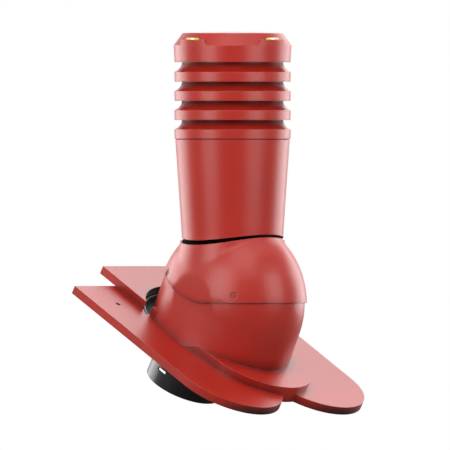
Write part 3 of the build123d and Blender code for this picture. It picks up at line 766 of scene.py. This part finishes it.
def ring_outline(head, top):
    """Outline of a louvre ring from its band's foot, over the flare to the neck and back inside."""
    band = RING_BAND_RADIUS
    wall = head.band_wall
    foot = band - head.band_draft
    flare_top = top + head.flare_height
    hollow = (band + head.throat_radius) / 2 - head.flare_sag
    middle = top + head.flare_height / 2
    throat, neck_top = head.throat_radius, top + head.throat_top
    outer = arc_through((band, top), (hollow, middle), (throat, flare_top), FLARE_STEPS)
    inner = arc_through(
        (throat - wall, flare_top),
        (hollow - wall, middle - wall / 2),
        (band - wall, top - wall),
        FLARE_STEPS,
    )
    outline = [(foot, top - head.band_height), (band, top)] + outer
    outline += [(throat, neck_top), (throat - wall, neck_top), (throat - wall, flare_top)] + inner
    outline += [(foot - wall, top - head.band_height)]
    return outline


def ring_posts(head, top):
    """The posts inside a ring, from a little below its band's top to the next ring."""
    return add_posts(head.post_circle, head.post_radius, top - POST_SINK, top + head.throat_top)


class ROOFVENT_OT_louvre_rings(bpy.types.Operator):
    """Turn one louvre ring with its posts and stack three of them"""

    bl_idname = "roofvent.louvre_rings"
    bl_label = "Model louvre rings"

    def execute(self, context):
        head = context.scene.roofvent_head
        red = bpy.data.materials["roof_red"]
        top = RING_LOW.z + head.band_height
        first = turned_shell("louvre_1", ring_outline(head, top), head.segments)
        round_edges(first, head.edge_rounding)
        join_pieces(first, ring_posts(head, top))
        smooth(first)
        finish_piece(first, "head", ["louvre_ring_1"], red)
        for number in (2, 3):
            low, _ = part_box(f"louvre_ring_{number}")
            ring = bpy.data.objects.new(f"louvre_{number}", first.data.copy())
            context.collection.objects.link(ring)
            make_active(ring)
            bpy.ops.transform.translate(value=(0, 0, low.z - RING_LOW.z))
            bpy.ops.object.transform_apply(location=True)
            finish_piece(ring, "head", [f"louvre_ring_{number}"], red)
        return {"FINISHED"}


class ROOFVENT_OT_head_base(bpy.types.Operator):
    """Turn the head's lowest ring with the spigot that sits in the pipe"""

    bl_idname = "roofvent.head_base"
    bl_label = "Model lowest ring"

    def execute(self, context):
        head = context.scene.roofvent_head
        pipe = context.scene.roofvent_pipe
        low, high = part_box("head_base")
        top = high.z - head.throat_top
        seat = PIPE_HIGH.z
        shoulder = seat + REST_HEIGHT
        spigot = pipe.top_radius - pipe.wall - SPIGOT_PLAY
        rest = pipe.top_radius - pipe.wall / 2
        foot = RING_BAND_RADIUS - head.band_draft * SHORT_BAND_DRAFT
        outline = [
            (spigot - SPIGOT_DRAFT, low.z),
            (spigot, seat),
            (rest, seat),
            (rest, shoulder),
            (foot, shoulder),
        ]
        outline += ring_outline(head, top)[1:-1]
        outline += [
            (foot - head.band_wall, shoulder + head.band_wall),
            (spigot - head.band_wall, shoulder + head.band_wall),
            (spigot - head.band_wall, low.z),
        ]
        ring = turned_shell("lowest_ring", outline, head.segments)
        round_edges(ring, head.edge_rounding * SHORT_BAND_ROUNDING)
        join_pieces(ring, ring_posts(head, top))
        smooth(ring)
        finish_piece(ring, "head", ["head_base"], bpy.data.materials["roof_red"])
        return {"FINISHED"}


def level_boss(cap, side, segments):
    """A slice of the cap's cylinder with sloping sides, which carries a level."""
    foot = CAP_LOW.z + cap.skirt_height
    top = foot + cap.boss_rise
    deselect_all()
    bpy.ops.mesh.primitive_cylinder_add(
        vertices=segments,
        radius=cap.skirt_radius,
        depth=top - foot + BOSS_SINK,
        location=(0, AXIS_Y, (top + foot - BOSS_SINK) / 2),
    )
    boss = take_new_piece("level_boss")
    across, out = Vector((1, 0, 0)), Vector((0, -1, 0))
    if side == "left":
        across, out = out, -across
    lean = (cap.boss_width - cap.boss_top_width) / 2
    centre = Vector((0, AXIS_Y, foot))
    cuts = [(centre + out * BOSS_START, out * -1)]
    for sign in (-1, 1):
        normal = (across * sign * cap.boss_rise + Vector((0, 0, lean))).normalized()
        cuts.append((centre + across * sign * cap.boss_width / 2, normal))
    bpy.ops.object.mode_set(mode="EDIT")
    for point, normal in cuts:
        bpy.ops.mesh.select_all(action="SELECT")
        bpy.ops.mesh.bisect(plane_co=point, plane_no=normal, use_fill=True, clear_outer=True)
    bpy.ops.mesh.select_all(action="SELECT")
    bpy.ops.mesh.normals_make_consistent(inside=False)
    bpy.ops.object.mode_set(mode="OBJECT")
    round_edges(boss, cap.edge_rounding * BOSS_ROUNDING)
    return boss


def level_hollow(cap, side):
    """The cylinder that a level's seat is cut with."""
    top = CAP_LOW.z + cap.skirt_height + cap.boss_rise
    if side == "right":
        place, turn = (0, AXIS_Y - cap.level_circle, top), (0, math.pi / 2, 0)
    else:
        place, turn = (-cap.level_circle, AXIS_Y, top), (math.pi / 2, 0, 0)
    deselect_all()
    bpy.ops.mesh.primitive_cylinder_add(
        vertices=HOLLOW_FACETS,
        radius=cap.level_radius,
        depth=cap.level_length,
        location=place,
        rotation=turn,
    )
    return take_new_piece("level_hollow")


class ROOFVENT_OT_cap(bpy.types.Operator):
    """Turn the cap and add the two bosses that hold the spirit levels"""

    bl_idname = "roofvent.cap"
    bl_label = "Model cap"

    def execute(self, context):
        cap = context.scene.roofvent_cap
        head = context.scene.roofvent_head
        bottom = CAP_LOW.z
        shoulder = bottom + cap.skirt_height
        rim = shoulder + cap.slope_height
        crown = CAP_HIGH.z
        top_radius = cap.skirt_radius - cap.slope_width
        wall = cap.wall
        foot = cap.skirt_radius - cap.skirt_draft
        outline = [
            (CROWN_CORE, rim - wall),
            (top_radius - wall, rim - wall),
            (cap.skirt_radius - wall, shoulder - wall / 2),
            (foot - wall, bottom),
            (foot, bottom),
            (cap.skirt_radius, shoulder),
            (top_radius, rim),
        ]
        arch = arc_through((top_radius, rim), (0, crown), (-top_radius, rim), CROWN_STEPS)
        outline += arch[: CROWN_STEPS // 2 - 1]
        outline.append((CROWN_CORE, crown))
        shell = turned_shell("vent_cap", outline, head.segments, closed=False)
        round_edges(shell, cap.edge_rounding, steps=3, angle=20.0)
        for side in ("right", "left"):
            combine(shell, level_boss(cap, side, head.segments), "UNION")
        for side in ("right", "left"):
            combine(shell, level_hollow(cap, side), "DIFFERENCE")
        ring_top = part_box("louvre_ring_3")[1].z
        join_pieces(shell, add_posts(head.post_circle, head.post_radius, ring_top, rim - wall))
        smooth(shell)
        finish_piece(shell, "head", ["cap"], bpy.data.materials["roof_red"])
        return {"FINISHED"}


class ROOFVENT_OT_pipe(bpy.types.Operator):
    """Turn the tapered pipe and shape its lower edge to follow the dome"""

    bl_idname = "roofvent.pipe"
    bl_label = "Model pipe"

    def execute(self, context):
        pipe = context.scene.roofvent_pipe
        low, high = PIPE_LOW.z + pipe.edge_trim, PIPE_HIGH.z
        taper = low + pipe.edge_rise + TAPER_START
        outline = [
            (pipe.bottom_radius - pipe.wall, low),
            (pipe.bottom_radius, low),
            (pipe.bottom_radius, taper),
            (pipe.top_radius, high),
            (pipe.top_radius - pipe.wall, high),
            (pipe.bottom_radius - pipe.wall, taper),
        ]
        tube = turned_shell("vent_pipe", outline, pipe.segments)
        bend = (pipe.bottom_radius**2 + pipe.edge_rise**2) / (2 * pipe.edge_rise)
        for corner in tube.data.vertices:
            if corner.co.z < low + EDGE_BAND:
                corner.co.z = low + bend - math.sqrt(bend**2 - (corner.co.y - AXIS_Y) ** 2)
        round_edges(tube, pipe.edge_rounding)
        smooth(tube)
        finish_piece(tube, "head", ["outer_pipe"], bpy.data.materials["roof_red"])
        return {"FINISHED"}


# Mouldings whose edges are softened on a copy of their frame node

COPY_MERGE_GAP = 2e-5
FLAT_TURN = math.radians(0.3)  # faces that turn less than this become one
SHARP_TURN = 40  # edges that turn more than this, in degrees, are rounded
COLLAR_FACETS = 160
COLLAR_LIFT = 0.0005  # height of the collar's foot over the tiles' plane through the pivot
COLLAR_ROUNDING = 0.2  # share of the collar's wall


def softened_copy(node_name, name, width):
    """A merged copy of a frame node with its sharp edges rounded."""
    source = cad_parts[node_name]
    piece = bpy.data.objects.new(name, source.data.copy())
    bpy.context.collection.objects.link(piece)
    make_active(piece)
    bpy.ops.object.mode_set(mode="EDIT")
    bpy.ops.mesh.select_all(action="SELECT")
    bpy.ops.mesh.remove_doubles(threshold=COPY_MERGE_GAP)
    bpy.ops.mesh.dissolve_limited(angle_limit=FLAT_TURN)
    bpy.ops.object.mode_set(mode="OBJECT")
    round_edges(piece, width, angle=SHARP_TURN)
    smooth(piece)
    return piece


def pit_collar(sizes):
    """The curved wall that stands on the spigot's flange, in the tiles' opening behind the dome."""
    deselect_all()
    bpy.ops.mesh.primitive_cylinder_add(
        vertices=COLLAR_FACETS,
        radius=sizes.collar_radius,
        depth=sizes.collar_height,
        end_fill_type="NOTHING",
        location=OUTWARD * (sizes.collar_height / 2 + COLLAR_LIFT),
        rotation=(ROOF_PITCH, 0, 0),
    )
    collar = take_new_piece("pit_collar")
    bpy.ops.object.mode_set(mode="EDIT")
    bpy.ops.mesh.select_all(action="SELECT")
    start = UPSLOPE * sizes.collar_start
    bpy.ops.mesh.bisect(plane_co=start, plane_no=UPSLOPE, clear_inner=True)
    bpy.ops.object.mode_set(mode="OBJECT")
    wall = collar.modifiers.new("wall", "SOLIDIFY")
    wall.thickness = sizes.collar_wall
    wall.offset = -1
    apply_modifier(collar, wall)
    round_edges(collar, sizes.collar_wall * COLLAR_ROUNDING)
    smooth(collar)
    return collar


class ROOFVENT_OT_mouldings(bpy.types.Operator):
    """Round the moulded edges of the tiles, the dome shell and the duct spigot"""

    bl_idname = "roofvent.mouldings"
    bl_label = "Soften mouldings"

    def execute(self, context):
        sizes = context.scene.roofvent_mouldings
        red = bpy.data.materials["roof_red"]
        tiles = softened_copy("tile_base", "tiles_and_lower_dome", sizes.tile_rounding)
        finish_piece(tiles, "base", ["tile_base"], red)
        dome = softened_copy("dome_shell", "turning_dome", sizes.dome_rounding)
        finish_piece(dome, "head", ["dome_shell"], red)
        spigot = softened_copy("duct_socket", "spigot_and_cup", sizes.spigot_rounding)
        join_pieces(spigot, [pit_collar(sizes)])
        finish_piece(spigot, "base", ["duct_socket"], bpy.data.materials["black_plastic"])
        return {"FINISHED"}


# Stage

# The surround that shiny faces mirror: the direction of its white side, behind the object, and the
# shares of the way round at which its duller side ends and its white side starts
STUDIO_WHITE_SIDE = (0.7071, 0.7071, 0.25)
STUDIO_STOPS = ((0.25, (0.55, 0.55, 0.56, 1)), (0.6, WHITE))

# Floor: its width, its gap under the object, the share of its light that it throws back on the
# object, its roughness, and the distances over which it goes white to the camera
FLOOR_WIDTH = 8
FLOOR_GAP = 0.001
FLOOR_BOUNCE = 0.35
FLOOR_ROUGHNESS = 0.9
FLOOR_FADE = (0.35, 1.2)

CAMERA_REACH = 4
CAMERA_CLIP = 50

# Each lamp: its turn from the camera in degrees, rise, reach, width, height and power setting
LAMPS = (
    ("side_lamp_left", -46, 0.45, 1.6, 0.9, 1.2, "left_power"),
    ("side_lamp_right", 46, 0.45, 1.6, 1.0, 1.2, "right_power"),
    ("rim_lamp_left", -125, 0.1, 1.6, 1.2, 1.5, "rim_power"),
    ("rim_lamp_right", 125, 0.1, 1.6, 1.2, 1.5, "rim_power"),
    ("key_lamp", -12, 1.35, 1.1, 1.2, 1.2, "key_power"),
    ("front_lamp", 0, 0.3, 1.8, 1.5, 1.5, "front_power"),
    ("top_lamp", 45, 1.8, 0.3, 1.4, 1.4, "top_power"),
    ("back_lamp", 162, 1.1, 1.42, 1.4, 1.2, "back_power"),
)


def background(tree, y, colour, strength=1.0):
    """A background shader of one colour."""
    inputs = {"Color": colour, "Strength": strength}
    return node(tree, "ShaderNodeBackground", 400, y, inputs).outputs["Background"]


def sky_world(scene, fill):
    """A surround: white to the camera, a studio to shiny faces, and an even fill to the rest."""
    world = bpy.data.worlds.new("studio_surround")
    scene.world = world
    tree = empty_tree(world)
    path = node(tree, "ShaderNodeLightPath", 100, 400).outputs
    place = node(tree, "ShaderNodeTexCoord", -700, -50).outputs["Generated"]
    facing = vector_maths(tree, "DOT_PRODUCT", -450, -50, place, STUDIO_WHITE_SIDE)
    shifted = maths(tree, "MULTIPLY_ADD", -300, -50, facing, 0.5, 0.5)
    ramp = node(tree, "ShaderNodeValToRGB", -150, -50, {"Fac": shifted})
    for stop, (position, tone) in zip(ramp.color_ramp.elements, STUDIO_STOPS):
        stop.position = position
        stop.color = tone
    white = background(tree, 150, WHITE)
    studio = background(tree, -50, ramp.outputs["Color"])
    soft = background(tree, -250, WHITE, fill)
    shiny = maths(tree, "MAXIMUM", 300, 300, path["Is Glossy Ray"], path["Is Transmission Ray"])
    lit = mix_shaders(tree, 600, -200, shiny, soft, studio)
    surround = mix_shaders(tree, 750, 0, path["Is Camera Ray"], lit, white)
    node(tree, "ShaderNodeOutputWorld", 950, 0, {"Surface": surround})


def floor_finish(shade):
    """A pale matt floor that fades to white, to the camera alone, away from the object."""
    material = bpy.data.materials.new("studio_floor")
    tree = empty_tree(material)
    to_camera = node(tree, "ShaderNodeLightPath", -600, 300).outputs["Is Camera Ray"]
    bounced = (*[shade * FLOOR_BOUNCE] * 3, 1)
    tone = mix_colours(tree, 0, 150, to_camera, bounced, (*[shade] * 3, 1))
    looks = {"Base Color": tone, "Roughness": FLOOR_ROUGHNESS}
    matt = node(tree, "ShaderNodeBsdfPrincipled", 300, 100, looks).outputs["BSDF"]
    place = node(tree, "ShaderNodeTexCoord", -900, -100).outputs["Object"]
    reach = vector_maths(tree, "LENGTH", -600, -100, place)
    fade = ramp_mask(tree, -300, -100, reach, FLOOR_FADE)
    seen = maths(tree, "MULTIPLY", 0, -100, fade, to_camera)
    white = node(tree, "ShaderNodeEmission", 300, -200).outputs["Emission"]
    blend = mix_shaders(tree, 600, 0, seen, matt, white)
    from_below = node(tree, "ShaderNodeNewGeometry", 300, 400).outputs["Backfacing"]
    clear = node(tree, "ShaderNodeBsdfTransparent", 600, -250).outputs["BSDF"]
    one_sided = mix_shaders(tree, 800, 0, from_below, blend, clear)
    node(tree, "ShaderNodeOutputMaterial", 1000, 0, {"Surface": one_sided})
    return material


def area_lamp(name, place, target, width, height, power):
    """A soft rectangular lamp aimed at a point and hidden from the camera."""
    data = bpy.data.lights.new(name, "AREA")
    data.shape = "RECTANGLE"
    data.size = width
    data.size_y = height
    data.energy = power
    lamp = bpy.data.objects.new(name, data)
    lamp.location = place
    lamp.rotation_euler = (target - place).to_track_quat("-Z", "Y").to_euler()
    lamp.visible_camera = False
    bpy.context.collection.objects.link(lamp)


def level_camera(stage, centre, ahead):
    """A level camera without perspective that looks at the middle of the object."""
    data = bpy.data.cameras.new("photo_view")
    data.type = "ORTHO"
    data.ortho_scale = stage.view_width
    data.clip_end = CAMERA_CLIP
    camera = bpy.data.objects.new("photo_view", data)
    camera.location = centre - ahead * CAMERA_REACH
    camera.rotation_euler = (math.pi / 2, 0, stage.view_turn)
    bpy.context.collection.objects.link(camera)
    return camera


class ROOFVENT_OT_stage(bpy.types.Operator):
    """Set up the pale floor, the soft lamps and the level camera"""

    bl_idname = "roofvent.stage"
    bl_label = "Set the stage"

    def execute(self, context):
        scene = context.scene
        stage = scene.roofvent_stage
        scene.view_settings.view_transform = "Standard"
        sky_world(scene, stage.fill)
        deselect_all()
        under = (0, 0, cad_low[2] - FLOOR_GAP)
        bpy.ops.mesh.primitive_plane_add(size=FLOOR_WIDTH, location=under)
        floor = take_new_piece("studio_floor")
        floor.data.materials.append(floor_finish(stage.floor_shade))
        centre = Vector(stage.view_centre)
        ahead = Vector((-math.sin(stage.view_turn), math.cos(stage.view_turn), 0))
        scene.camera = level_camera(stage, centre, ahead)
        for name, turned, rise, reach, width, height, setting in LAMPS:
            away = math.radians(turned)
            east = reach * (ahead.y * math.sin(away) - ahead.x * math.cos(away))
            north = -reach * (ahead.x * math.sin(away) + ahead.y * math.cos(away))
            place = centre + Vector((east, north, rise))
            area_lamp(name, place, centre, width, height, getattr(stage, setting))
        return {"FINISHED"}


STEPS = ("finishes", "louvre_rings", "head_base", "cap", "pipe", "mouldings", "stage")


class ROOFVENT_PT_sidebar(bpy.types.Panel):
    """Lists the vent's modelling steps"""

    bl_idname = "ROOFVENT_PT_sidebar"
    bl_label = "Roof tile vent"
    bl_space_type = "VIEW_3D"
    bl_region_type = "UI"
    bl_category = "Roof vent"

    def draw(self, context):
        for step in STEPS:
            self.layout.operator(f"roofvent.{step}")
        for name in SETTINGS:
            group = getattr(context.scene, name)
            box = self.layout.box()
            for key in group.__annotations__:
                box.prop(group, key)


SETTINGS = {
    "roofvent_pipe": VentPipeSizes,
    "roofvent_head": VentHeadSizes,
    "roofvent_cap": VentCapSizes,
    "roofvent_mouldings": VentMouldingSizes,
    "roofvent_colours": VentFinishColours,
    "roofvent_stage": VentStageSettings,
}

CLASSES = (
    *SETTINGS.values(),
    ROOFVENT_OT_finishes,
    ROOFVENT_OT_louvre_rings,
    ROOFVENT_OT_head_base,
    ROOFVENT_OT_cap,
    ROOFVENT_OT_pipe,
    ROOFVENT_OT_mouldings,
    ROOFVENT_OT_stage,
    ROOFVENT_PT_sidebar,
)


def register():
    for part in CLASSES:
        bpy.utils.register_class(part)
    for name, group in SETTINGS.items():
        setattr(bpy.types.Scene, name, PointerProperty(type=group))


def unregister():
    for name in SETTINGS:
        delattr(bpy.types.Scene, name)
    for part in reversed(CLASSES):
        bpy.utils.unregister_class(part)


def main():
    register()
    for step in STEPS:
        getattr(bpy.ops.roofvent, step)()


if __name__ == "__main__":
    main()
